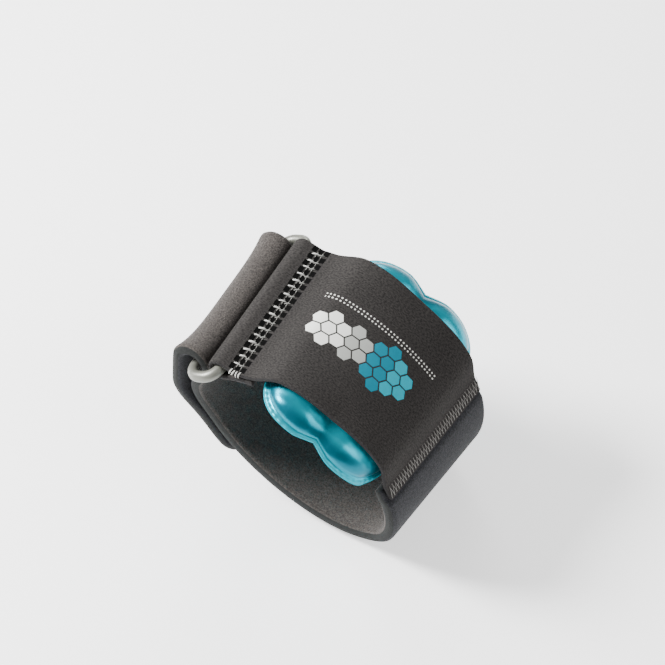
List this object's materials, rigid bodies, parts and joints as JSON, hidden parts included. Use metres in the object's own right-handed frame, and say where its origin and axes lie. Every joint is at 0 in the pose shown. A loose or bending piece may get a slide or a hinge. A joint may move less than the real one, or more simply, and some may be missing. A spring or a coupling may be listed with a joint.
{
  "type": "tennis elbow strap",
  "caption": "Tennis elbow strap in its worn shape, with a turquoise gel pad, a dark cover panel, a buckle ring and a black neoprene band.",
  "frame": {"origin": "middle of the hollow where the forearm goes, halfway along the strap's width", "axes": "+Y along the forearm, towards its thick end; the middle of the panel leans 32 degrees from +Z towards +X"},
  "size_m": [0.0897, 0.0765, 0.0745],
  "materials": {
    "panel_fabric": "matte",
    "gel": "gloss",
    "neoprene": "matte",
    "ring_plastic": "satin",
    "hook_plastic": "matte"
  },
  "bodies": {
    "root": {"cover_panel": "panel_fabric", "gel_pad": "gel", "neoprene_band": "neoprene", "buckle_ring": "ring_plastic", "hook_tab": "hook_plastic"}
  },
  "joints": []
}
